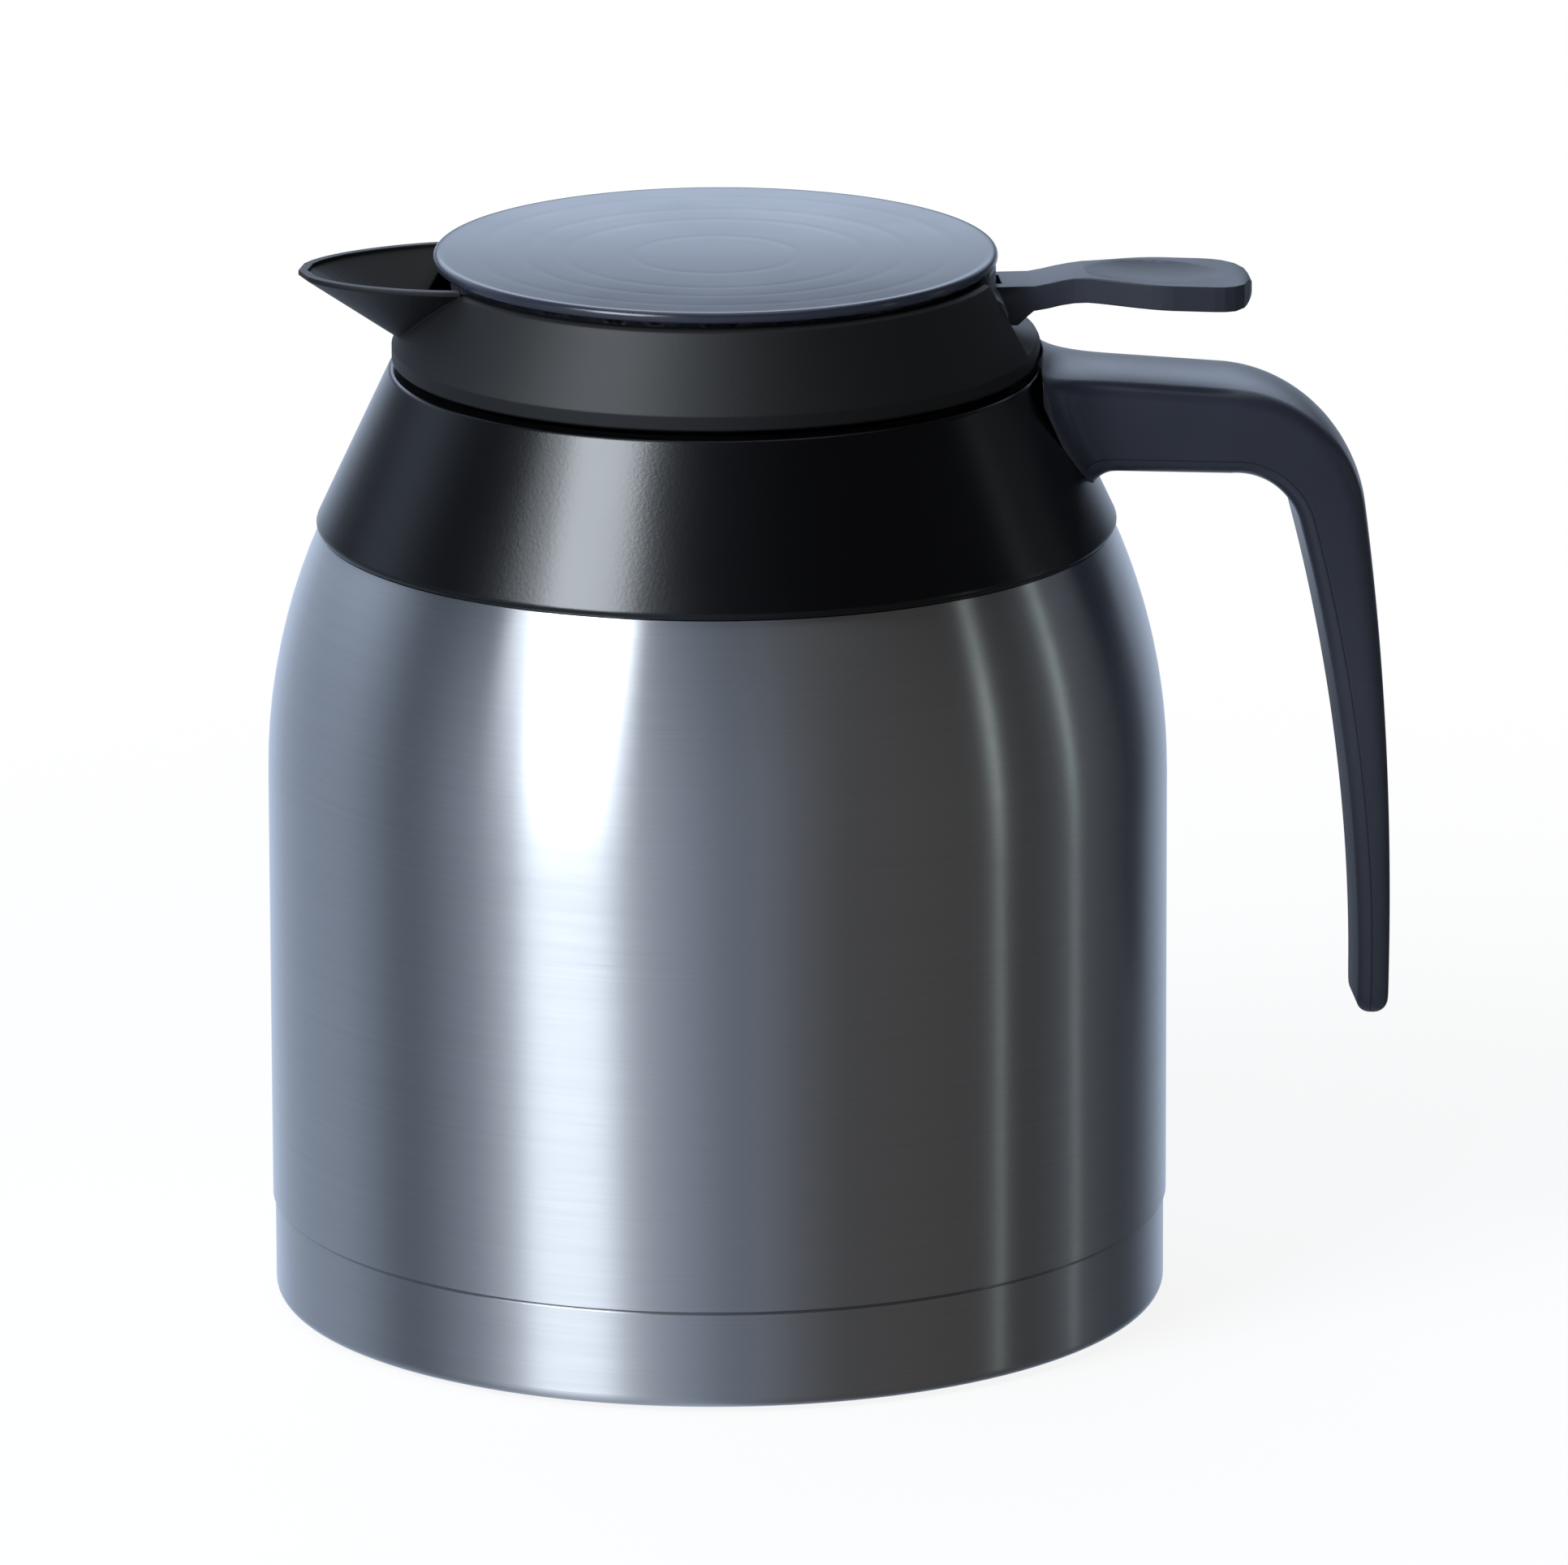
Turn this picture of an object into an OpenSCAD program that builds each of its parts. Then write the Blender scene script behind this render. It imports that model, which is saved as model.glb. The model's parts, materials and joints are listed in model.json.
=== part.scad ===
// Thermal carafe with a thumb lever that tips a flip lid open for pouring.
// Millimetres. The table is z = 0, the handle points along +X and the spout along -X.

/* [Steel body] */
// Outer radius of the straight steel wall
body_r = 69.75; // [66:0.25:74]
// Thickness of the outer steel wall
shell_wall = 0.8; // [0.6:0.1:1.2]
// Height where the straight wall starts to curve in
belly_z = 83.6; // [76:0.2:88]
// Radius of the curve from the wall to the shoulder
belly_arc_r = 95; // [92:1:110]
// Height of the top edge of the visible steel
step_z = 122.6; // [118:0.2:124]
// Depth of the step that the shoulder sits on
rebate_d = 2.4; // [1.8:0.1:3]
// Distance from the straight steel wall in to the steel neck
neck_inset = 28.75; // [26:0.25:31]
// Width of the vacuum gap between the two walls
vacuum_gap = 4; // [3:0.25:5.5]
// Thickness of the inner flask wall
flask_wall = 0.7; // [0.5:0.1:1]
// Height of the inside floor of the flask
flask_floor_z = 27; // [25:0.5:34]
// Radius of the round corner at the flask floor
flask_corner_r = 14; // [8:1:20]

/* [Base] */
// How far the rubber pad holds the steel off the table
foot_h = 0.6; // [0.4:0.1:1]
// Height of the seam between base cup and body
seam_z = 16.2; // [14:0.2:18]
// Height of the dark gap at the seam
seam_gap = 0.3; // [0.2:0.1:0.5]
// How far the base cup sits inside the body line
base_step = 0.4; // [0.2:0.1:0.8]
// Sheet thickness of the base cup
base_wall = 0.8; // [0.6:0.1:1.2]
// Radius of the bottom corner of the base cup
base_corner_r = 1.8; // [1.2:0.1:3]
// How far the rubber pad's edge lies inside the base cup's side
pad_inset = 9.35; // [7.5:0.05:17]
// Thickness of the rubber pad
pad_t = 1.4; // [1.2:0.1:2]
// Radius of the sealed evacuation cap
getter_r = 6; // [4:0.5:9]

/* [Shoulder] */
// Height of the plastic shoulder from the steel step to its top
shoulder_h = 25.4; // [24:0.2:28]
// How far the shoulder's lower edge stands proud of the steel
lip_proud = 1; // [0.5:0.1:1.4]
// Radius of the rounding at that edge
lip_round = 0.8; // [0.4:0.1:1.2]
// Wall thickness of the shoulder
shoulder_wall = 2.2; // [1.8:0.1:2.6]
// Width of the flange between the steel neck and the tube that takes the lid
flange_w = 6.4; // [5.8:0.1:7]
// Width of the shoulder's top edge round that tube
top_edge_w = 3; // [2.6:0.1:3.6]
// Wall thickness of the tube
tube_wall = 1.6; // [1.2:0.1:1.8]
// Depth of the tube below the top of the shoulder
tube_depth = 12; // [11:0.25:13]
// Thickness of the tube's inner flange
flange_t = 2; // [1.6:0.1:2.4]
// Thickness of the shoulder gasket
gasket_t = 2; // [1.5:0.1:2.5]
// How far the steel mouth lies below the top of the shoulder
mouth_drop = 2; // [1.4:0.1:2.6]
// Height of the ring that clamps the shoulder to the neck
clamp_h = 3.6; // [3:0.1:4]

/* [Bayonet] */
// Number of lugs on the collar
lug_n = 3; // [2:1:4]
// Angle that one lug covers
lug_a = 24; // [16:1:28]
// Angle that one ledge covers
ledge_a = 46; // [40:1:48]
// How far a lug stands out from the skirt
lug_d = 1.8; // [1.4:0.1:2]
// Height of a lug
lug_h = 2.4; // [2:0.1:2.8]
// Height of a ledge
ledge_h = 2.6; // [2.2:0.1:3]
// Clearance between moving plastic faces
gap = 0.4; // [0.3:0.05:0.5]

/* [Spout collar] */
// How far the collar's lower band sits inside the shoulder's top edge
band_step = 0.4; // [0.2:0.1:0.8]
// Height of the dark groove under the collar
groove_h = 1.2; // [0.8:0.1:1.8]
// Height of the straight lower band
band_h = 2.4; // [2:0.1:3]
// Height of the whole collar
collar_h = 14.4; // [13.5:0.1:15]
// How far the collar narrows from the band to its top edge
collar_taper = 6; // [4.5:0.1:7]
// Wall thickness of the collar
collar_wall = 1.7; // [1.4:0.1:1.9]
// Thickness of the collar floor
floor_t = 1.8; // [1.5:0.1:2.2]
// Wall thickness of the skirt that carries the lugs
skirt_wall = 1.6; // [1.3:0.1:1.8]
// Depth of the skirt below the collar
skirt_h = 9.6; // [9:0.1:10]
// Half width of the notch for the lever
notch_w = 17; // [15:0.25:18]
// Distance of the spout's tip from the collar's top edge
spout_reach = 20.3; // [16:0.1:26]
// Half width of the spout at the collar
spout_w = 17.4; // [15:0.2:19]
// Height of the spout's rim above the collar's top
spout_rise = 0.6; // [0.2:0.1:1.2]
// Wall thickness of the spout
spout_wall = 1.4; // [1.1:0.1:1.8]

/* [Stopper] */
// Clearance between the stopper and the steel mouth
neck_gap = 0.5; // [0.3:0.1:0.7]
// How far the pour throat sits inside the steel mouth
throat_inset = 6; // [5:0.25:8]
// How far the funnel's wide end sits inside the steel mouth
funnel_inset = 0.8; // [0.6:0.1:1.4]
// Wall thickness of the funnel
funnel_wall = 1.6; // [1.3:0.1:1.8]
// Length of the straight throat below the funnel
throat_h = 5; // [4:0.5:7]
// Height of the funnel cone
funnel_h = 11.6; // [10:0.2:12.5]
// Height of the dam round the funnel
dam_h = 3.6; // [2:0.2:4]
// Thickness of the silicone mouth seal
seal_t = 1.6; // [1.2:0.1:1.7]

/* [Flip lid] */
// How far the cover disc sits inside the collar's top edge
disc_inset = 0.5; // [0.2:0.1:1.2]
// Thickness of the cover disc at its rim
disc_t = 1.7; // [1.4:0.1:2.2]
// Depth of the dish in the cover disc
dish_d = 0.7; // [0.3:0.1:0.9]
// Width of the slope from the disc's rim into the dish
dish_w = 7; // [4:0.5:12]
// Gap between the collar's top and the disc
disc_gap = 0.8; // [0.6:0.1:1.4]
// Clearance between the frame's rim and the collar
frame_gap = 1.3; // [1:0.1:2]
// Height of the frame's rim
frame_h = 4; // [3.4:0.1:4.2]
// Wall thickness of frame and plug
plug_wall = 1.6; // [1.2:0.1:2]
// Clearance between plug and funnel
plug_gap = 0.9; // [0.7:0.1:1.2]
// Height of the plug's silicone ring
ring_h = 2; // [1.6:0.1:2.6]

/* [Hinge] */
// Distance from the collar's top edge in to the hinge pin
pin_inset = 3.5; // [3.2:0.1:4.2]
// Height of the hinge pin above the bottom of the collar
pin_h = 8.8; // [8.6:0.1:9.2]
// Radius of the hinge pin
pin_r = 1.25; // [1:0.05:1.4]
// Radial running clearance on the pin
pin_fit = 0.05; // [0.02:0.01:0.09]
// Outer radius of the hinge barrels
barrel_r = 3.3; // [2.8:0.1:3.4]
// Thickness of each hinge ear
ear_t = 3.4; // [2.6:0.1:3.8]
// Radius of the round top of each ear
ear_r = 2.5; // [2.2:0.1:3]
// Wire thickness of the closing spring
wire_d = 0.7; // [0.5:0.05:0.8]
// Turns of the closing spring
spring_turns = 4; // [3:1:5]

/* [Lever] */
// Distance of the lever's end from the collar's top edge
lever_reach = 38.8; // [34:0.2:40]
// Width of the lever's arm
arm_w = 10.6; // [8:0.2:13]
// Width of the thumb paddle
paddle_w = 20; // [16:0.5:24]
// Thickness of the lever
lever_t = 3.9; // [3:0.1:4.2]
// How far the lever swells up behind the disc
lever_hump = 1.25; // [0.6:0.05:1.6]
// How far the paddle falls away towards its end
lever_fall = 1.7; // [1:0.1:2.4]
// Length of the oval thumb dish
thumb_l = 22; // [16:0.5:24]
// Depth of the thumb dish
thumb_d = 1.3; // [0.6:0.1:1.8]
// Width of the edge left beside the dish
thumb_edge = 1.8; // [1.2:0.1:3]

/* [Handle] */
// Distance from the steel wall to the middle of the grip
grip_reach = 32.3; // [28:0.5:36]
// Radius of the grip's long curve
grip_arc_r = 375; // [300:5:500]
// Lean of the grip where the bend ends
grip_lean = 11.1; // [8:0.1:13]
// Radius of the bend at mid thickness
bend_r = 17.3; // [15:0.1:20]
// Slope of the upper arm
arm_tilt = 4; // [2:0.25:6]
// Drop from the shoulder's top to the middle of the bend
bend_drop = 27.1; // [25:0.1:30]
// Height of the grip's lower end
grip_end_z = 42.4; // [36:0.5:52]
// Thickness of the arm where it leaves the body
arm_t = 15.4; // [12:0.2:17]
// Thickness after the bend
grip_t = 11; // [9:0.2:13]
// Thickness at the lower end
tip_t = 4.8; // [4:0.1:7]
// Width of the arm
handle_w = 25; // [20:0.5:28]
// Width at the lower end
tip_w = 16; // [12:0.5:20]
// Length of the rounding at the lower end
tip_round = 5; // [3:0.5:7]
// Extra width on each side where the arm joins the shoulder
root_flare = 5.5; // [3:0.5:8]
// Thickness of the inner cover strip
strip_t = 2.2; // [1.6:0.1:2.6]
// Radius of the handle screws
screw_r = 1.75; // [1.25:0.05:2]
// Distance of each handle screw from the middle
screw_y = 5; // [4:0.25:6]
// How deep the screws bite into the handle
screw_bite = 8; // [6:0.5:12]

/* [Hidden] */
$fn = 96;
eps = 0.01;
seat_fit = 0.03;

// Heights of the stack, each from the one below it
shoulder_top_z = step_z + shoulder_h;
mouth_z = shoulder_top_z - mouth_drop;
tube_bottom_z = shoulder_top_z - tube_depth;
ledge_z = tube_bottom_z - gasket_t;
collar_z = shoulder_top_z + groove_h;
collar_top_z = collar_z + collar_h;
band_z = collar_z + band_h;
collar_floor_z = band_z + 0.6;
rim_z = collar_top_z + spout_rise;
disc_z = collar_top_z + disc_gap;
disc_top_z = disc_z + disc_t;
pin_z = collar_z + pin_h;

// Radii that follow from the steel wall, each from the one outside or inside it
neck_r = body_r - neck_inset;
mouth_r = neck_r - vacuum_gap;
tube_r = neck_r + flange_w;
ledge_r = tube_r + tube_wall;
shoulder_top_r = tube_r + top_edge_w;
collar_r = shoulder_top_r - band_step;
collar_top_r = collar_r - collar_taper;
throat_r = mouth_r - throat_inset;
funnel_r = mouth_r - funnel_inset;
disc_r = collar_top_r - disc_inset;
pin_x = collar_top_r - pin_inset;
lever_x = collar_top_r + lever_reach;
spout_x = collar_top_r + spout_reach;
function steel_r(z) = body_r - belly_arc_r + sqrt(pow(belly_arc_r, 2) - pow(max(z - belly_z, 0), 2));
lip_r = steel_r(step_z) + lip_proud;
rebate_r = steel_r(step_z) - rebate_d;
base_r = body_r - base_step;
pad_r = base_r - pad_inset;
shoulder_slope = (lip_r - shoulder_top_r) / (shoulder_top_z - step_z);
shoulder_a = atan(shoulder_slope);
shoulder_side = shoulder_wall / cos(shoulder_a);
collar_slope = (collar_r - collar_top_r) / (collar_top_z - band_z);
collar_side = collar_wall * sqrt(1 + pow(collar_slope, 2));
frame_r = collar_top_r - collar_side - frame_gap;
lug_r = tube_r - gap;
skirt_r = lug_r - lug_d;
ledge_ir = skirt_r + gap;
stopper_r = skirt_r - skirt_wall - 0.2;
skirt_z = collar_z - skirt_h;
lug_z = skirt_z + 0.8;
ledge_low_z = lug_z + lug_h + gap;
seal_z = mouth_z + 0.2;
stopper_z = seal_z + seal_t;
stopper_top_z = collar_z + 0.5;
funnel_top_z = stopper_top_z;
funnel_low_z = funnel_top_z - funnel_h;
throat_z = funnel_low_z - throat_h;
funnel_slope = (funnel_r - throat_r) / funnel_h;
plug_z = funnel_low_z + 1.6;
plug_top_z = disc_z - plug_wall;

function arc_points(cx, cy, r, a0, a1, n) =
  [for (i = [0:n]) [cx + r * cos(a0 + (a1 - a0) * i / n), cy + r * sin(a0 + (a1 - a0) * i / n)]];
function collar_outer_r(z) = z < band_z ? collar_r : collar_r - (z - band_z) * collar_slope;
function shoulder_outer_r(z) = lip_r - (z - step_z) * shoulder_slope;
function funnel_inner_r(z) = throat_r + (z - funnel_low_z) * funnel_slope;

// A ring with a rectangular section
module ring(ro, ri, z, h) {
  rotate_extrude() translate([ri, z]) square([ro - ri, h]);
}

// A part of such a ring, centred on the angle mid
module ring_part(ro, ri, z, h, mid, a) {
  rotate([0, 0, mid - a / 2])
    rotate_extrude(angle = a) translate([ri, z]) square([ro - ri, h]);
}

// Lays an outline drawn in X and Z across the depth d, centred on Y
module side_extrude(d) {
  translate([0, d / 2, 0]) rotate([90, 0, 0]) linear_extrude(height = d) children();
}

// The belly of the body, moved in by inset, from z0 up to z1
module belly_2d(inset, z0, z1) {
  translate([0, z0]) square([body_r - inset, belly_z - z0]);
  intersection() {
    translate([body_r - belly_arc_r, belly_z]) circle(r = belly_arc_r - inset, $fn = 360);
    translate([0, belly_z - eps]) square([body_r, z1 - belly_z + eps]);
  }
}

// The steel under the plastic shoulder and the neck, moved in by inset
module neck_2d(inset, top_z) {
  polygon([
    [0, step_z - 8],
    [rebate_r - inset, step_z - 8],
    [rebate_r - inset, step_z + 0.6 - inset],
    [ledge_r + 0.6 - inset * 0.6, ledge_z - inset],
    [neck_r - inset, ledge_z - inset],
    [neck_r - inset, top_z],
    [0, top_z]
  ]);
}

module outer_shell() {
  color("silver") rotate_extrude($fn = 180) difference() {
    union() {
      belly_2d(0, seam_z, step_z);
      neck_2d(0, mouth_z - flask_wall);
    }
    union() {
      belly_2d(shell_wall, seam_z - 1, step_z - shell_wall);
      neck_2d(shell_wall, mouth_z + 1);
    }
  }
}

// The inner flask, grown in by inset, with a round corner at its floor
module flask_2d(inset, top_z) {
  in = shell_wall + vacuum_gap + inset;
  z0 = flask_floor_z - flask_wall + inset;
  r = body_r - in;
  cr = flask_corner_r - inset;
  translate([0, z0]) square([r - cr, cr + eps]);
  intersection() {
    translate([r - cr, z0 + cr]) circle(r = cr);
    translate([0, z0]) square([r, cr + eps]);
  }
  belly_2d(in, z0 + cr, step_z - in);
  polygon([
    [0, step_z - in - 8],
    [rebate_r - in, step_z - in - 8],
    [rebate_r - in, step_z - in],
    [ledge_r - 0.6 * in, ledge_z - in],
    [mouth_r + flask_wall - inset, ledge_z - in],
    [mouth_r + flask_wall - inset, top_z],
    [0, top_z]
  ]);
}

module inner_flask() {
  color("gainsboro") rotate_extrude($fn = 180) {
    difference() {
      flask_2d(0, mouth_z);
      flask_2d(flask_wall, mouth_z + 1);
    }
    translate([mouth_r, mouth_z - flask_wall]) square([neck_r - mouth_r, flask_wall]);
  }
}

// Welded disc that closes the vacuum space, with a pocket for the cap
module vacuum_bottom() {
  r = body_r - shell_wall - seat_fit;
  z = seam_z + 4.4;
  color("silver") rotate_extrude() polygon([
    [0, z + 1.6], [getter_r + 2, z + 1.6], [getter_r + 4, z + 0.4], [r * 0.7, z + 0.4],
    [r - 6, z], [r, z], [r, z + shell_wall], [r - 6, z + shell_wall],
    [r * 0.7, z + 0.4 + shell_wall], [getter_r + 4, z + 0.4 + shell_wall],
    [getter_r + 2, z + 1.6 + shell_wall], [0, z + 1.6 + shell_wall]
  ]);
}

module evacuation_cap() {
  z = seam_z + 6;
  color("dimgray") rotate_extrude() polygon([
    [0, z], [getter_r, z], [getter_r, z - 0.8], [getter_r - 1, z - 1.6], [0, z - 1.6]
  ]);
}

// Drawn steel cup with a round bottom corner and a spigot inside the body
module base_cup() {
  top = seam_z - seam_gap;
  spigot_r = body_r - shell_wall - 0.15;
  color("silver") rotate_extrude($fn = 180) polygon(concat(
    [[0, pad_t], [pad_r + 0.5, pad_t], [pad_r + 1.5, foot_h]],
    arc_points(base_r - base_corner_r, foot_h + base_corner_r, base_corner_r, -90, 0, 8),
    [
      [base_r, top - 0.3], [base_r - 0.3, top], [spigot_r, top], [spigot_r, seam_z + 2.8],
      [spigot_r - base_wall, seam_z + 2.8], [spigot_r - base_wall, top - 1.4],
      [base_r - base_wall, top - 2.2]
    ],
    arc_points(base_r - base_corner_r, foot_h + base_corner_r, base_corner_r - base_wall, 0, -90, 6),
    [[pad_r + 1.5, foot_h + base_wall], [pad_r + 0.5, pad_t + base_wall], [0, pad_t + base_wall]]
  ));
}

// Rubber pad with a shallow hollow, so it stands on its outer ring
module base_pad() {
  color("black") rotate_extrude() polygon([
    [0, 0.4], [pad_r - 9, 0.4], [pad_r - 8.6, 0], [pad_r - 0.4, 0], [pad_r, 0.4], [pad_r, pad_t], [0, pad_t]
  ]);
}

// The two handle screws: heads just outside the tube, as high as the cone's inside lets them sit
screw_head_r = 1.5 * screw_r;
screw_head_t = 0.7 * screw_r;
screw_x = ledge_r + 0.2;
screw_room_r = norm([screw_x + screw_head_t, screw_y + screw_head_r]);
screw_z = shoulder_top_z - screw_head_r - (screw_room_r + 0.1 + shoulder_side - shoulder_top_r) / shoulder_slope;
screw_l = shoulder_outer_r(screw_z) - screw_x + screw_bite;

// Cone with a turned-in top, the tube for the lid, its flange and the bayonet ledges
module shoulder() {
  z0 = step_z + 0.1;
  z1 = z0 + lip_round;
  top_round = 0.7;
  z2 = shoulder_top_z - top_round;
  color("#17181b") difference() {
    union() {
      rotate_extrude($fn = 180) polygon(concat(
        [[rebate_r + 0.3, z0]],
        arc_points(shoulder_outer_r(z1) - lip_round / cos(shoulder_a), z1, lip_round, -90, shoulder_a, 6),
        arc_points(shoulder_outer_r(z2) - top_round / cos(shoulder_a), z2, top_round, shoulder_a, 90, 4),
        [
          [tube_r, shoulder_top_z],
          [tube_r, tube_bottom_z + flange_t], [neck_r + 0.4, tube_bottom_z + flange_t],
          [neck_r + 0.4, tube_bottom_z], [ledge_r, tube_bottom_z], [ledge_r, shoulder_top_z - 4],
          [shoulder_outer_r(shoulder_top_z - 5) - shoulder_side, shoulder_top_z - 5],
          [shoulder_outer_r(z0 + 3) - shoulder_side, z0 + 3], [rebate_r + 0.3, z0 + 1.6]
        ]
      ));
      for (i = [0:lug_n - 1])
        ring_part(tube_r + 0.5, ledge_ir, ledge_low_z, ledge_h, 90 + i * 360 / lug_n, ledge_a);
    }
    for (s = [-1, 1]) translate([ledge_r + 0.1, s * screw_y, screw_z])
      rotate([0, 90, 0]) cylinder(r = screw_r + 0.2, h = screw_l);
  }
}

module shoulder_gasket() {
  color("darkgray") ring(ledge_r - 0.2, neck_r + 0.4, ledge_z, gasket_t);
}

// Threaded ring that clamps the shoulder's flange down on the steel neck
module clamp_ring() {
  z = tube_bottom_z + flange_t;
  ro = stopper_r - gap;
  color("dimgray") difference() {
    rotate_extrude() polygon([
      [neck_r + 0.15, z], [ro, z], [ro, z + clamp_h - 0.6], [ro - 0.6, z + clamp_h], [neck_r + 0.15, z + clamp_h]
    ]);
    for (i = [0:5]) rotate([0, 0, i * 60]) translate([ro - 0.8, -2, z + clamp_h - 1.4]) cube([2, 4, 2]);
  }
}

// Path of the handle: arm, bend and grip are tangent arcs in the X-Z plane
grip_x = body_r + grip_reach;
bend_z = shoulder_top_z - bend_drop;
grip_z = bend_z - (grip_arc_r - bend_r) * sin(grip_lean);
bend_x = grip_x - grip_arc_r + (grip_arc_r - bend_r) * cos(grip_lean);
arm_end_x = bend_x + bend_r * sin(arm_tilt);
arm_end_z = bend_z + bend_r * cos(arm_tilt);
root_x = shoulder_top_r - 2;
flare_x = shoulder_top_r + 13;
arm_steps = 11;
bend_steps = 12;
grip_steps = 16;
tip_angle = asin((grip_end_z + tip_round - grip_z) / grip_arc_r);

// Each station holds x, z, normal angle, thickness and half width
function arm_station(x) = let (
    u = max(1 - (x - root_x) / (flare_x - root_x), 0),
    k = (x - root_x) / (arm_end_x - root_x)
  ) [
    x, arm_end_z + (arm_end_x - x) * tan(arm_tilt), 90 - arm_tilt,
    arm_t - 1.5 * k + 3 * pow(u, 4), handle_w / 2 - 0.3 * k + root_flare * pow(u, 3)
  ];
function bend_station(k) = let (a = 90 - arm_tilt - (90 - arm_tilt - grip_lean) * k) [
    bend_x + bend_r * cos(a), bend_z + bend_r * sin(a), a,
    (arm_t - 1.5) * (1 - k) + grip_t * k, (handle_w / 2 - 0.3) * (1 - k) + (handle_w / 2 - 1.3) * k
  ];
function grip_station(k) = let (a = grip_lean + (tip_angle - grip_lean) * k) [
    grip_x - grip_arc_r + grip_arc_r * cos(a), grip_z + grip_arc_r * sin(a), a,
    tip_t + (grip_t - tip_t) * pow(1 - k, 1.7), (handle_w / 2 - 1.3) * (1 - k) + (tip_w / 2) * k
  ];
// Rounded lower end, drawn in along a quarter circle
function tip_station(b) = let (a = tip_angle - sin(b) * tip_round / grip_arc_r * 180 / PI) [
    grip_x - grip_arc_r + grip_arc_r * cos(a), grip_z + grip_arc_r * sin(a), a,
    tip_t * pow(cos(b), 0.6), tip_w / 2 - (1 - cos(b)) * tip_round
  ];
handle_stations = concat(
  [for (i = [0:arm_steps]) arm_station(root_x + (arm_end_x - root_x) * pow(i / arm_steps, 1.4))],
  [for (i = [1:bend_steps]) bend_station(i / bend_steps)],
  [for (i = [1:grip_steps]) grip_station(i / grip_steps)],
  [for (b = [22, 42, 58, 71, 82]) tip_station(b)]
);

// Outer shell section: crowned back, straight sides, open side at the cover strip
function crown(y, a, t) = t / 2 - 0.23 * t * pow(abs(y) / a, 2.3);
function shell_section(t, a) = let (v = -t / 2 + min(strip_t, 0.4 * t), n = 5)
  concat([[a, v]], [for (i = [n:-1:-n]) let (y = a * sin(90 * i / n)) [y, crown(y, a, t)]], [[-a, v]]);
// Cover strip section: flat face with round edges, slightly narrower than the shell
function strip_section(t, w) = let (
    a = w - 0.35, v = -t / 2 + min(strip_t, 0.4 * t) - 0.05, r = min(1.4, 0.3 * t)
  ) concat(
    [[-a, v]],
    [for (i = [0:3]) [-a + r - r * cos(30 * i), -t / 2 + r - r * sin(30 * i)]],
    [for (i = [3:-1:0]) [a - r + r * cos(30 * i), -t / 2 + r - r * sin(30 * i)]],
    [[a, v]]
  );
function place(s, p) = [s[0] + p[1] * cos(s[2]), p[0], s[1] + p[1] * sin(s[2])];

// Skins a row of sections into one closed solid
module skin(sections) {
  m = len(sections[0]);
  n = len(sections);
  points = [for (s = sections) each s];
  sides = [for (i = [0:n - 2], j = [0:m - 1]) each [
    [i * m + j, i * m + (j + 1) % m, (i + 1) * m + j],
    [i * m + (j + 1) % m, (i + 1) * m + (j + 1) % m, (i + 1) * m + j]
  ]];
  caps = [[for (j = [m - 1:-1:0]) j], [for (j = [0:m - 1]) (n - 1) * m + j]];
  polyhedron(points = points, faces = concat(sides, caps), convexity = 8);
}

// The shoulder's outside, which the handle's root is cut to
module shoulder_form() {
  rotate_extrude($fn = 180) polygon([
    [0, step_z - arm_t], [lip_r + seat_fit, step_z - arm_t], [lip_r + seat_fit, step_z],
    [shoulder_top_r + seat_fit, shoulder_top_z], [shoulder_top_r + seat_fit, shoulder_top_z + arm_t],
    [0, shoulder_top_z + arm_t]
  ]);
}

module handle_shell() {
  color("#2b3038") difference() {
    skin([for (s = handle_stations) [for (p = shell_section(s[3], s[4])) place(s, p)]]);
    shoulder_form();
  }
}

module handle_cover() {
  color("#23272e") difference() {
    skin([for (s = handle_stations) [for (p = strip_section(s[3], s[4])) place(s, p)]]);
    shoulder_form();
  }
}

module handle_screws() {
  color("silver") for (s = [-1, 1]) translate([screw_x, s * screw_y, screw_z])
    rotate([0, 90, 0]) rotate_extrude() polygon([
      [0, screw_head_t / 2], [screw_r / 2, screw_head_t / 2], [screw_r / 2, 0], [screw_head_r - 0.3, 0],
      [screw_head_r, 0.3], [screw_head_r, screw_head_t], [screw_r, screw_head_t],
      [screw_r, screw_l - screw_r], [screw_r * 0.3, screw_l], [0, screw_l]
    ]);
}

// Plan of the spout's rim from the collar to the tip, moved in by inset
function spout_plan(inset) = let (
    x0 = -sqrt(pow(collar_top_r, 2) - pow(spout_w, 2)), l = spout_x + x0 - inset, w = spout_w - inset, n = 16
  ) concat(
    [for (i = [0:n]) let (u = pow(i / n, 0.8)) [x0 - l * u, w * sqrt(1 - pow(u, 1.5))]],
    [for (i = [n - 1:-1:0]) let (u = pow(i / n, 0.8)) [x0 - l * u, -w * sqrt(1 - pow(u, 1.5))]]
  );
spout_foot_x = -(collar_r - 4.5);
spout_foot_z = collar_floor_z;

module spout_outside() {
  hull() {
    translate([0, 0, rim_z - 0.7]) linear_extrude(height = 0.7) polygon(spout_plan(0));
    translate([spout_foot_x, 0, spout_foot_z]) cylinder(r = 2, h = 0.4, $fn = 24);
  }
}

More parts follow.
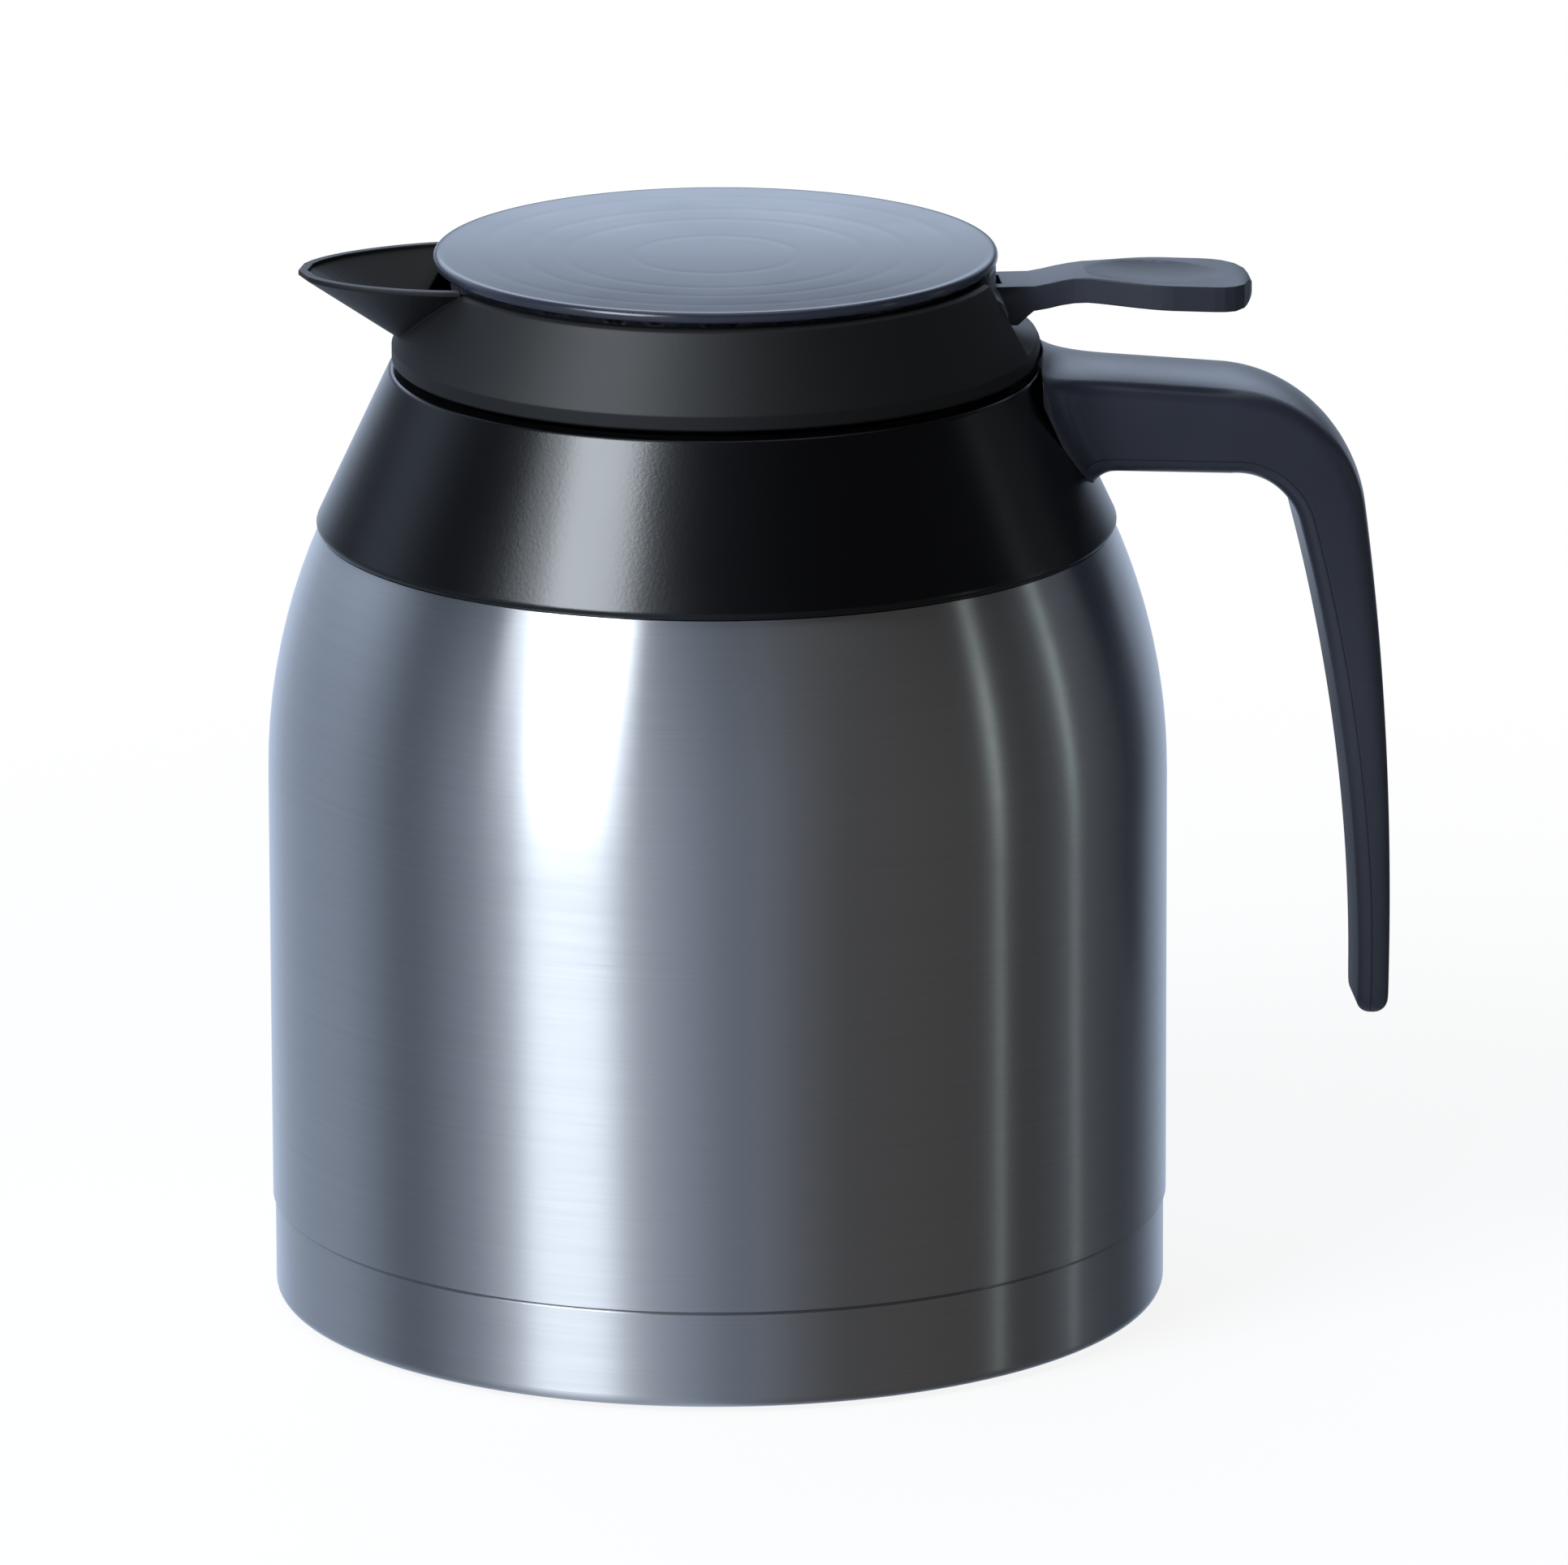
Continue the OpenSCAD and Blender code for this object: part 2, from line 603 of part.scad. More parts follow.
// The channel inside the spout, which also opens the collar's wall
module spout_inside() {
  hull() {
    translate([0, 0, rim_z - 0.6]) linear_extrude(height = 3) polygon(spout_plan(spout_wall));
    translate([0, 0, rim_z - 0.6]) linear_extrude(height = 3)
      translate([-collar_top_r + 7, 0]) square([2, 2 * (spout_w - spout_wall)], center = true);
    translate([spout_foot_x + 2.6, 0, spout_foot_z + 1.2]) cylinder(r = 2, h = 0.4, $fn = 24);
    translate([spout_foot_x + 8, 0, spout_foot_z + 0.6]) cylinder(r = 4, h = 0.4, $fn = 24);
  }
}

// Solid shape of the collar's outside, for the ears to be cut to
module collar_form(inset) {
  rotate_extrude($fn = 180) polygon([
    [0, collar_z], [collar_r - inset, collar_z], [collar_r - inset, band_z],
    [collar_top_r - inset, collar_top_z], [0, collar_top_z]
  ]);
}

module hinge_ears() {
  intersection() {
    collar_form(0.01);
    for (s = [-1, 1]) translate([0, s * (notch_w + ear_t / 2), 0]) {
      translate([pin_x, 0, pin_z]) rotate([90, 0, 0]) cylinder(r = ear_r, h = ear_t, center = true);
      translate([pin_x - ear_r, -ear_t / 2, collar_floor_z - 0.5])
        cube([collar_r - pin_x, ear_t, pin_z - collar_floor_z + 0.5]);
    }
  }
}

// Outer cone with spout, floor, lever notch, hinge ears and the skirt with its lugs
module spout_collar() {
  color("#17181b") difference() {
    union() {
      difference() {
        union() {
          rotate_extrude($fn = 180) polygon([
            [skirt_r - skirt_wall, skirt_z], [skirt_r, skirt_z], [skirt_r, collar_floor_z - floor_t],
            [collar_r - 1.8, collar_floor_z - floor_t], [collar_r - 1.8, collar_z],
            [collar_r - 0.3, collar_z], [collar_r, collar_z + 0.3], [collar_r, band_z],
            [collar_top_r + 0.4 * collar_slope, collar_top_z - 0.4], [collar_top_r - 0.5, collar_top_z],
            [collar_top_r - collar_side, collar_top_z],
            [collar_outer_r(collar_floor_z) - collar_side, collar_floor_z],
            [stopper_r - 1.8, collar_floor_z], [stopper_r - 1.8, stopper_top_z],
            [skirt_r - skirt_wall, stopper_top_z]
          ]);
          spout_outside();
        }
        // The hull of the spout may not fill the basin inside the cone
        intersection() {
          collar_form(collar_side);
          translate([0, 0, collar_floor_z]) cylinder(r = collar_r, h = collar_h);
        }
        spout_inside();
        translate([0, -notch_w, collar_floor_z]) cube([collar_r, 2 * notch_w, collar_h]);
      }
      hinge_ears();
      for (i = [0:lug_n - 1])
        ring_part(lug_r, skirt_r - 0.5, lug_z, lug_h, 90 + i * 360 / lug_n, lug_a);
    }
    translate([pin_x, 0, pin_z]) rotate([90, 0, 0])
      cylinder(r = pin_r + 0.02, h = 2 * (notch_w + ear_t - 0.8), center = true);
  }
}

// Funnel that the plug closes, with its flange under the collar and a dam round the back
module stopper_body() {
  dam_r = stopper_r - 3;
  open_w = spout_w + 2.6;
  outer_r = mouth_r - neck_gap;
  color("#202226") difference() {
    rotate_extrude($fn = 180) polygon([
      [throat_r, throat_z], [throat_r + funnel_wall, throat_z],
      [throat_r + funnel_wall, funnel_low_z],
      [outer_r, funnel_low_z + (outer_r - throat_r - funnel_wall) / funnel_slope],
      [outer_r, stopper_z], [stopper_r, stopper_z], [stopper_r, stopper_top_z],
      [dam_r, stopper_top_z], [dam_r, stopper_top_z + dam_h], [dam_r - 1.4, stopper_top_z + dam_h],
      [dam_r - 1.4, stopper_top_z], [funnel_r, funnel_top_z], [throat_r, funnel_low_z]
    ]);
    translate([-stopper_r, -open_w, stopper_top_z]) cube([stopper_r, 2 * open_w, dam_h + 1]);
  }
}

module mouth_seal() {
  color("lightgray") rotate_extrude() polygon([
    [mouth_r + 0.3, seal_z], [neck_r + 0.6, seal_z], [neck_r + 0.6, stopper_z], [mouth_r + 0.3, stopper_z]
  ]);
}

module hinge_pin() {
  l = 2 * (notch_w + ear_t - 1);
  color("lightsteelblue") translate([pin_x, l / 2, pin_z]) rotate([90, 0, 0]) rotate_extrude() polygon([
    [0, 0], [pin_r - 0.3, 0], [pin_r, 0.3], [pin_r, l - 0.3], [pin_r - 0.3, l], [0, l]
  ]);
}

// Closing spring: one wire with a leg on the collar floor, its coil and a leg under the frame
spring_r = pin_r + 0.45 + wire_d / 2;
spring_pitch = wire_d + 0.2;
spring_legs = [collar_floor_z + wire_d / 2 + 0.1 - pin_z, disc_z - plug_wall - wire_d / 2 - 0.1 - pin_z];
function spring_path() = let (n = 16 * spring_turns, y0 = -spring_turns * spring_pitch / 2) concat(
    [[spring_r, y0, spring_legs[0]], [spring_r, y0, spring_legs[0] / 2]],
    [for (i = [0:n + 8]) let (a = 360 * i / 16) [
      spring_r * cos(a), y0 + spring_pitch * i / 16, spring_r * sin(a)
    ]],
    [for (k = [0.5, 1]) [-spring_r, y0 + spring_pitch * (spring_turns + 0.5), spring_legs[1] * k]]
  );

module lid_spring() {
  path = spring_path();
  n = len(path);
  function axis_at(i) = let (d = path[min(i + 1, n - 1)] - path[max(i - 1, 0)]) d / norm(d);
  function ring_at(i) = let (d = axis_at(i), u0 = cross(d, [0, 1, 0]), u = u0 / norm(u0), v = cross(d, u))
    [for (k = [0:7]) path[i] + (u * cos(45 * k) + v * sin(45 * k)) * wire_d / 2];
  color("lightsteelblue") translate([pin_x, 0, pin_z]) skin([for (i = [n - 1:-1:0]) ring_at(i)]);
}

// Dished disc with a soft raised rim
module lid_cover() {
  r = disc_r;
  z = disc_z;
  color("#3a414d") rotate_extrude($fn = 180) polygon(concat(
    [[0, z], [r - 0.6, z]],
    arc_points(r - 0.6, z + 0.6, 0.6, -90, 0, 4),
    arc_points(r - 0.9, disc_top_z - 0.9, 0.9, 0, 90, 6),
    [for (i = [0:10]) let (u = i / 10) [r - 1.2 - dish_w * u, disc_top_z - dish_d * (1 - cos(180 * u)) / 2]],
    [[0, disc_top_z - dish_d]]
  ));
}

// Lever outline seen from the side: the top line, then the underside back to the barrel
lever_top_z = pin_z + 2.3;
lever_root_x = disc_r + 6;
lever_l = lever_x - lever_root_x;
hump_k = 0.24;
function lever_rise(x) = let (k = (x - lever_root_x) / lever_l)
  k < 0 ? 0 : lever_hump * sin(min(k / hump_k, 1) * 90) - lever_fall * max(k - hump_k, 0);
module lever_side() {
  x0 = pin_x;
  x1 = lever_x;
  n = 20;
  r = 1.6;
  polygon(concat(
    [for (i = [0:n]) let (x = x0 + (x1 - 0.5 - x0) * i / n) [x, lever_top_z + lever_rise(x)]],
    [[x1, lever_top_z + lever_rise(x1) - 0.5]],
    arc_points(x1 - r, lever_top_z + lever_rise(x1) - lever_t + r + 0.3, r, 0, -90, 5),
    [for (i = [n - 1:-1:4]) let (x = x0 + (x1 - 1 - x0) * i / n) [x, lever_top_z + lever_rise(x) - lever_t]],
    [[pin_x + 7.3, pin_z - 2.4], [pin_x + 5.8, pin_z - 3.8], [pin_x + 3.8, pin_z - 3.8], [pin_x + 2, pin_z - 2]]
  ));
}

// Lever seen from above: a narrow arm that widens into a rounded paddle
function lever_half_w(x) = let (
    k = (x - lever_root_x - 4) / (lever_l / 2),
    s = min(max(k, 0), 1),
    e = max(1 - (lever_x - x) / 7, 0)
  ) (arm_w / 2 + (paddle_w - arm_w) / 2 * (3 * s * s - 2 * s * s * s)) * sqrt(max(1 - pow(e, 2.6) * 0.92, 0.0));
module lever_plan() {
  n = 26;
  x0 = pin_x;
  step = (lever_x - x0) / n;
  polygon(concat(
    [for (i = [0:n]) [x0 + i * step, lever_half_w(x0 + i * step)]],
    [for (i = [n:-1:0]) [x0 + i * step, -lever_half_w(x0 + i * step)]]
  ));
}

// Lemon shaped cutter for the oval thumb dish: an arc turned about the lever's length
module thumb_dish() {
  l = thumb_l / 2;
  w = paddle_w / 2 - thumb_edge;
  along_r = (l * l + thumb_d * thumb_d) / (2 * thumb_d);
  across_r = (w * w + thumb_d * thumb_d) / (2 * thumb_d);
  x = lever_x - l - 2.6;
  translate([x, 0, lever_top_z + lever_rise(x) + across_r - thumb_d])
    rotate([0, 90 + atan(lever_fall / lever_l), 0]) rotate_extrude($fn = 120) intersection() {
      translate([across_r - along_r, 0]) circle(r = along_r, $fn = 240);
      translate([0, -thumb_l]) square([across_r + 1, 2 * thumb_l]);
    }
}

// Frame under the disc: plate with a rim, hinge barrel, block and the thumb lever
module lid_frame() {
  z0 = disc_z - frame_h;
  pocket = spring_turns * spring_pitch + 2.4;
  color("#2b3038") difference() {
    union() {
      rotate_extrude($fn = 180) polygon([
        [0, plug_top_z], [frame_r - plug_wall, plug_top_z], [frame_r - plug_wall, z0], [frame_r - 0.4, z0],
        [frame_r, z0 + 0.4], [frame_r, disc_z], [0, disc_z]
      ]);
      intersection() {
        translate([0, 0, z0 - 2]) cylinder(r = disc_r - 0.3, h = frame_h + 2);
        translate([pin_x - 3.2, -notch_w + 2, z0 - 2]) cube([10, 2 * notch_w - 4, frame_h + 2]);
      }
      translate([pin_x, 0, pin_z]) rotate([90, 0, 0])
        cylinder(r = barrel_r, h = 2 * notch_w - 0.7, center = true);
      intersection() {
        side_extrude(3 * paddle_w) lever_side();
        translate([0, 0, pin_z - 10]) linear_extrude(height = 30) lever_plan();
      }
    }
    thumb_dish();
    translate([pin_x, 0, pin_z]) rotate([90, 0, 0])
      cylinder(r = pin_r + pin_fit, h = 2 * notch_w + 4, center = true);
    translate([pin_x - 3.4, -pocket / 2, pin_z - 6]) cube([6.9, pocket, plug_top_z - pin_z + 6]);
  }
}

// Hollow plug with a groove for its seal
module plug_cup() {
  top_r = frame_r - plug_wall - 2.6;
  r0 = throat_r - plug_gap;
  z1 = funnel_top_z + 2.6;
  r1 = r0 + (z1 - plug_z) * funnel_slope;
  groove_z = plug_z + 1.4;
  groove_r = r0 - 0.9;
  color("#26282c") rotate_extrude($fn = 180) polygon([
    [0, plug_z], [r0 - 0.5, plug_z], [r0, plug_z + 0.5], [r0 + 0.9 * funnel_slope, groove_z - 0.1],
    [groove_r, groove_z - 0.1], [groove_r, groove_z + ring_h + 0.1],
    [r0 + (ring_h + 1.4) * funnel_slope, groove_z + ring_h + 0.1], [r1, z1], [top_r, z1 + 3],
    [top_r, plug_top_z], [top_r - plug_wall, plug_top_z], [top_r - plug_wall, z1 + 3.4],
    [r1 - plug_wall, z1 + 0.4], [groove_r - plug_wall, groove_z + ring_h + 1],
    [groove_r - plug_wall, plug_z + plug_wall], [0, plug_z + plug_wall]
  ]);
}

module plug_seal() {
  r0 = throat_r - plug_gap - 0.9;
  z = plug_z + 1.4;
  color("lightgray") rotate_extrude($fn = 180) polygon([
    [r0 + 0.05, z], [r0 + 1.2, z], [funnel_inner_r(z + ring_h * 0.3) - 0.3, z + ring_h * 0.3],
    [funnel_inner_r(z + ring_h) - 0.3, z + ring_h], [r0 + 0.05, z + ring_h]
  ]);
}

outer_shell();
inner_flask();
vacuum_bottom();
evacuation_cap();
base_cup();
base_pad();
shoulder();
shoulder_gasket();
clamp_ring();
handle_shell();
handle_cover();
handle_screws();
spout_collar();
stopper_body();
mouth_seal();
hinge_pin();
lid_spring();
lid_cover();
lid_frame();
plug_cup();
plug_seal();
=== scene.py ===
import json
import math

import bmesh
import bpy
from mathutils import Matrix, Vector


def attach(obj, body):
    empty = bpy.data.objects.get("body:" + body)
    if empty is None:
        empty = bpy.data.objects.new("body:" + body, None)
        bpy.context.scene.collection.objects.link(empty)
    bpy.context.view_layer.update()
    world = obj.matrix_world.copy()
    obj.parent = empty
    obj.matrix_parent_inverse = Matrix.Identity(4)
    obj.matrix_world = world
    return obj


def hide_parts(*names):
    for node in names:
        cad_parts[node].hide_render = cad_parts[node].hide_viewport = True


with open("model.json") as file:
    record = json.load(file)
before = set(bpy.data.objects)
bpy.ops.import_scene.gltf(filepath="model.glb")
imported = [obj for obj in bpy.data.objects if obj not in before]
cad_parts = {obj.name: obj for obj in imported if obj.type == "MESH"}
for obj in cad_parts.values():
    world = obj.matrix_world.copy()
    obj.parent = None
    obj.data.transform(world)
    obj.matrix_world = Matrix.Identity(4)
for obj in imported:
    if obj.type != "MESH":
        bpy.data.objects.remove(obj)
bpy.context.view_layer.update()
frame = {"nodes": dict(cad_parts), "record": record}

# Lengths are in metres, except in the handle's section, which keeps the source's millimetres.

# The photograph's camera, worked out from the ellipses of the base, the seam and the lid
IMAGE_W = 1932
FOCAL_PX = 20122.0
SENSOR_MM = 36.0
CAM_DISTANCE = 2.4506
CAM_HEIGHT = 0.7348
CAM_AZIMUTH = math.radians(-4.5)
CAM_PITCH = 0.2607
CAM_YAW = 0.0042
CAM_ROLL = -0.0034
CAM_CLIP = 50.0

# Plain white of the floor and the background
WHITE = (1.0, 1.0, 1.0, 1.0)


# Camera

def make_camera():
    data = bpy.data.cameras.new("camera")
    data.sensor_width = SENSOR_MM
    data.lens = FOCAL_PX / IMAGE_W * SENSOR_MM
    data.clip_end = CAM_CLIP
    camera = bpy.data.objects.new("camera", data)
    bpy.context.scene.collection.objects.link(camera)
    forward = Vector((
        math.sin(CAM_YAW) * math.cos(CAM_PITCH),
        math.cos(CAM_YAW) * math.cos(CAM_PITCH),
        -math.sin(CAM_PITCH),
    ))
    right = Vector((math.cos(CAM_YAW), -math.sin(CAM_YAW), 0.0))
    up = right.cross(forward)
    side = right * math.cos(CAM_ROLL) + up * math.sin(CAM_ROLL)
    top = up * math.cos(CAM_ROLL) - right * math.sin(CAM_ROLL)
    turn = Matrix((side, top, -forward)).transposed().to_4x4()
    place = Matrix.Translation((0.0, -CAM_DISTANCE, CAM_HEIGHT)) @ turn
    camera.matrix_world = Matrix.Rotation(CAM_AZIMUTH, 4, "Z") @ place
    bpy.context.scene.camera = camera


# Node helpers

# Nearly all of a noise texture's values lie between these two
NOISE_LOW, NOISE_HIGH = 0.3, 0.7

# A surface's roughness varies between these shares of its own value
ROUGH_LOW, ROUGH_HIGH = 0.93, 1.07

BEVEL_SAMPLES = 6


def set_inputs(node, **values):
    """Sets inputs by their names, with an underscore for each space."""
    for key, value in values.items():
        node.inputs[key.replace("_", " ")].default_value = value


def add_node(tree, kind, **values):
    node = tree.nodes.new(kind)
    set_inputs(node, **values)
    return node


def mix_shaders(tree, factor, first, second):
    """The first shader where factor is 0, the second where it is 1."""
    mix = add_node(tree, "ShaderNodeMixShader")
    tree.links.new(factor, mix.inputs["Fac"])
    tree.links.new(first, mix.inputs[1])
    tree.links.new(second, mix.inputs[2])
    return mix.outputs["Shader"]


class Graph:
    """A material's node tree with short calls for the nodes used here."""

    def __init__(self, name):
        self.material = bpy.data.materials.new(name)
        self.material.use_nodes = True
        self.tree = self.material.node_tree
        self.tree.nodes.clear()
        self.output = self.add("ShaderNodeOutputMaterial")
        self.shader = self.add("ShaderNodeBsdfPrincipled")
        self.link(self.shader.outputs["BSDF"], self.output.inputs["Surface"])

    def add(self, kind, **values):
        return add_node(self.tree, kind, **values)

    def link(self, source, target):
        self.tree.links.new(source, target)

    def noise(self, scale, stretch=(1.0, 1.0, 1.0), detail=3.0, rough=0.5):
        coords = self.add("ShaderNodeTexCoord")
        mapping = self.add("ShaderNodeMapping", Scale=stretch)
        noise = self.add("ShaderNodeTexNoise", Scale=scale, Detail=detail, Roughness=rough)
        self.link(coords.outputs["Object"], mapping.inputs["Vector"])
        self.link(mapping.outputs["Vector"], noise.inputs["Vector"])
        return noise.outputs["Fac"]

    def spread(self, value, low, high):
        """Turns a noise value into one between low and high."""
        node = self.add("ShaderNodeMapRange", From_Min=NOISE_LOW, From_Max=NOISE_HIGH, To_Min=low, To_Max=high)
        self.link(value, node.inputs["Value"])
        return node.outputs["Result"]

    def colours(self, value, tone, dark, light):
        """Base colour: the tone times a share between dark and light, which follows value."""
        ramp = self.add("ShaderNodeValToRGB")
        ends = ((NOISE_LOW, dark), (NOISE_HIGH, light))
        for stop, (position, share) in zip(ramp.color_ramp.elements, ends):
            stop.position = position
            stop.color = (*[c * share for c in tone], 1.0)
        self.link(value, ramp.inputs["Fac"])
        self.link(ramp.outputs["Color"], self.shader.inputs["Base Color"])

    def rough_by_height(self, value, base, steps):
        """Roughness base, varied a little by value; each step gives height, blend and the roughness above."""
        coords = self.add("ShaderNodeTexCoord")
        split = self.add("ShaderNodeSeparateXYZ")
        self.link(coords.outputs["Object"], split.inputs["Vector"])
        level = self.spread(value, ROUGH_LOW * base, ROUGH_HIGH * base)
        last = base
        for height, blend, after in steps:
            step = self.add("ShaderNodeMapRange", From_Min=height, From_Max=height + blend, To_Max=after - last)
            total = self.add("ShaderNodeMath")
            self.link(split.outputs["Z"], step.inputs["Value"])
            self.link(step.outputs["Result"], total.inputs[0])
            self.link(level, total.inputs[1])
            level, last = total.outputs["Value"], after
        self.link(level, self.shader.inputs["Roughness"])

    def bump(self, value, depth, strength, after=None):
        """Relief from value, on top of the normal that after gives."""
        node = self.add("ShaderNodeBump", Strength=strength, Distance=depth)
        self.link(value, node.inputs["Height"])
        if after is not None:
            self.link(after, node.inputs["Normal"])
        self.link(node.outputs["Normal"], self.shader.inputs["Normal"])

    def soft_edges(self, radius):
        node = self.add("ShaderNodeBevel", Radius=radius)
        node.samples = BEVEL_SAMPLES
        return node.outputs["Normal"]

    def tangent_round_z(self):
        node = self.add("ShaderNodeTangent")
        node.direction_type = "RADIAL"
        node.axis = "Z"
        self.link(node.outputs["Tangent"], self.shader.inputs["Tangent"])


# Materials

# Rounding that moulded edges seem to have
EDGE_ROUND = 0.0004

# Heights from which a slot's finish changes, since one slot covers several pieces
COLLAR_FROM = 0.1486
GRIP_UNTIL = 0.09
LEVER_FROM = 0.15
COVER_FROM = 0.1635

# How far up a change of finish is spread: short between two pieces, long from the grip to the arm
SHORT_BLEND = 0.0004
LONG_BLEND = 0.04


def brushed_steel(name, tone, roughness):
    """Steel brushed round the Z axis, with fine lines and wider streaks."""
    g = Graph(name)
    set_inputs(g.shader, Metallic=1.0, Anisotropic=1.0, Anisotropic_Rotation=0.25)
    lines = g.noise(scale=1.0, stretch=(30.0, 30.0, 5600.0), detail=3.0, rough=0.6)
    streaks = g.noise(scale=1.0, stretch=(14.0, 14.0, 2600.0), detail=2.0, rough=0.5)
    g.colours(streaks, tone, dark=0.975, light=1.025)
    g.link(g.spread(lines, ROUGH_LOW * roughness, ROUGH_HIGH * roughness), g.shader.inputs["Roughness"])
    g.bump(lines, depth=0.000004, strength=0.25)
    g.tangent_round_z()
    return g.material


def plastic(name, tone, roughness, grain, depth, steps=()):
    """Moulded plastic with a fine grain and soft edges; steps are those of rough_by_height."""
    g = Graph(name)
    set_inputs(g.shader, Metallic=0.0, IOR=1.5)
    tint = g.noise(scale=38.0, detail=4.0)
    g.colours(tint, tone, dark=0.92, light=1.08)
    fine = g.noise(scale=grain, detail=2.0, rough=0.6)
    g.rough_by_height(tint, roughness, steps)
    g.bump(fine, depth, strength=0.6, after=g.soft_edges(EDGE_ROUND))
    return g.material


def silicone(name, tone):
    g = Graph(name)
    set_inputs(g.shader, Subsurface_Weight=0.25, Subsurface_Scale=0.002, Roughness=0.45)
    tint = g.noise(scale=60.0)
    g.colours(tint, tone, dark=0.95, light=1.0)
    g.bump(g.noise(scale=900.0), depth=0.00002, strength=0.4)
    return g.material


MATERIALS = {
    "brushed_steel": brushed_steel("brushed_steel", tone=(0.60, 0.60, 0.61), roughness=0.31),
    "flask_steel": brushed_steel("flask_steel", tone=(0.66, 0.66, 0.66), roughness=0.2),
    "hard_steel": brushed_steel("hard_steel", tone=(0.6, 0.62, 0.66), roughness=0.22),
    "black_plastic": plastic(
        "black_plastic", tone=(0.0014, 0.0014, 0.0018), roughness=0.225, grain=1700.0, depth=0.00002,
        steps=[(COLLAR_FROM, SHORT_BLEND, 0.55)],
    ),
    "grey_plastic": plastic(
        "grey_plastic", tone=(0.022, 0.024, 0.036), roughness=0.66, grain=1900.0, depth=0.000008,
        steps=[(GRIP_UNTIL, LONG_BLEND, 0.34), (LEVER_FROM, SHORT_BLEND, 0.46), (COVER_FROM, SHORT_BLEND, 0.18)],
    ),
    "inner_plastic": plastic(
        "inner_plastic", tone=(0.02, 0.021, 0.024), roughness=0.42, grain=1500.0, depth=0.00001,
    ),
    "silicone": silicone("silicone", tone=(0.52, 0.52, 0.51)),
    "rubber": plastic("rubber", tone=(0.022, 0.022, 0.023), roughness=0.7, grain=1400.0, depth=0.00004),
}


def dress_nodes():
    for part in frame["record"]["subparts"]:
        node = frame["nodes"][part["node"]]
        for entry in node.material_slots:
            entry.material = MATERIALS[part["material_slot"]]


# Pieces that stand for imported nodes

def tube_faces(rings, count):
    """Quads between neighbouring rings of count points each."""
    faces = []
    for i in range(rings - 1):
        for j in range(count):
            k = (j + 1) % count
            faces.append((i * count + j, i * count + k, (i + 1) * count + k, (i + 1) * count + j))
    return faces


def shade_smooth(mesh, sharp_degrees):
    for face in mesh.polygons:
        face.use_smooth = True
    mesh.set_sharp_from_angle(angle=math.radians(sharp_degrees))


def new_mesh(name, points, faces, sharp_degrees):
    mesh = bpy.data.meshes.new(name)
    mesh.from_pydata(points, [], faces)
    mesh.validate()
    shade_smooth(mesh, sharp_degrees)
    return mesh


def new_piece(name, mesh):
    piece = bpy.data.objects.new(name, mesh)
    bpy.context.scene.collection.objects.link(piece)
    return piece


def stand_for(piece, node, body):
    piece.data.materials.clear()
    piece.data.materials.append(MATERIALS["grey_plastic"])
    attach(piece, body)
    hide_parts(node)


# Handle: the source's arm, bend and grip with smooth sections, all in millimetres

# Steel body, and the shoulder's cone from its step up to its top
BODY_R = 69.75
STEP_Z = 122.6
TOP_Z = 148.0
LIP_R = 62.38
TOP_R = 50.4
# The handle starts this far outside the cone, which goes on this far below the step
CONE_GAP = 0.03
CONE_BELOW = 10.0

# Centre line: a grip on a wide arc, a bend, and an arm that falls a little towards it
GRIP_REACH = 32.3
GRIP_X = BODY_R + GRIP_REACH
GRIP_ARC_R = 375.0
GRIP_LEAN = math.radians(11.1)
BEND_R = 17.3
BEND_DROP = 27.1
ARM_TILT = math.radians(4.0)
BEND_Z = TOP_Z - BEND_DROP
GRIP_Z = BEND_Z - (GRIP_ARC_R - BEND_R) * math.sin(GRIP_LEAN)
BEND_X = GRIP_X - GRIP_ARC_R + (GRIP_ARC_R - BEND_R) * math.cos(GRIP_LEAN)
ARM_END_X = BEND_X + BEND_R * math.sin(ARM_TILT)
ARM_END_Z = BEND_Z + BEND_R * math.cos(ARM_TILT)
ROOT_DEPTH = 2.0
ROOT_X = TOP_R - ROOT_DEPTH
TIP_Z = 42.4
TIP_ROUND = 5.0
TIP_NOSE = 2.7
TIP_TURN = math.radians(84.0)
TIP_ANGLE = math.asin((TIP_Z + TIP_ROUND - GRIP_Z) / GRIP_ARC_R)

# Thickness and half width at the shoulder, at the bend, at the grip's top and at the tip
ARM_T, BEND_T, GRIP_T, TIP_T = 15.4, 13.9, 11.0, 5.2
ARM_W, BEND_W, GRIP_W, TIP_W = 12.5, 12.2, 11.2, 8.0
GRIP_TAPER = 1.7

# What the flare adds at the shoulder, and where it ends
FLARE_T, FLARE_W = 3.0, 5.5
FLARE_X = TOP_R + 13.0

# Sections: the outer shell with its crowned top, and the strip on its inner side;
# a share is the most of the handle's thickness that the size before it may take
STRIP_T, STRIP_SHARE = 2.2, 0.4
STRIP_R, STRIP_R_SHARE = 2.1, 0.36
STRIP_SIDE_GAP = 0.05
STRIP_SEAT_GAP = 0.02
CROWN = 0.1
CROWN_POWER = 2.3
SHELL_R, SHELL_R_SHARE = 2.8, 0.35
SHELL_KNEE = 0.3
CORNER_SHARE = 0.9

# Fillet against the shoulder: it pushes points away from a core inside the section, less so at the top
ROOT_FILLET = 4.0
CORE_DEPTH = 4.0
TOP_FILLET_SHARE = 0.4

# How many sections each stretch has, and how many are spread anew from the cone
ARM_STEPS, BEND_STEPS, GRIP_STEPS, TIP_STEPS = 40, 28, 40, 16
CUT_STEPS = 34
CROWN_STEPS, CORNER_STEPS, STRIP_STEPS = 12, 5, 5
HANDLE_SHARP = 38.0


def between(first, last, k):
    return first * (1 - k) + last * k


# Each station is x, z, the angle of the section's outward direction, the thickness and the half width

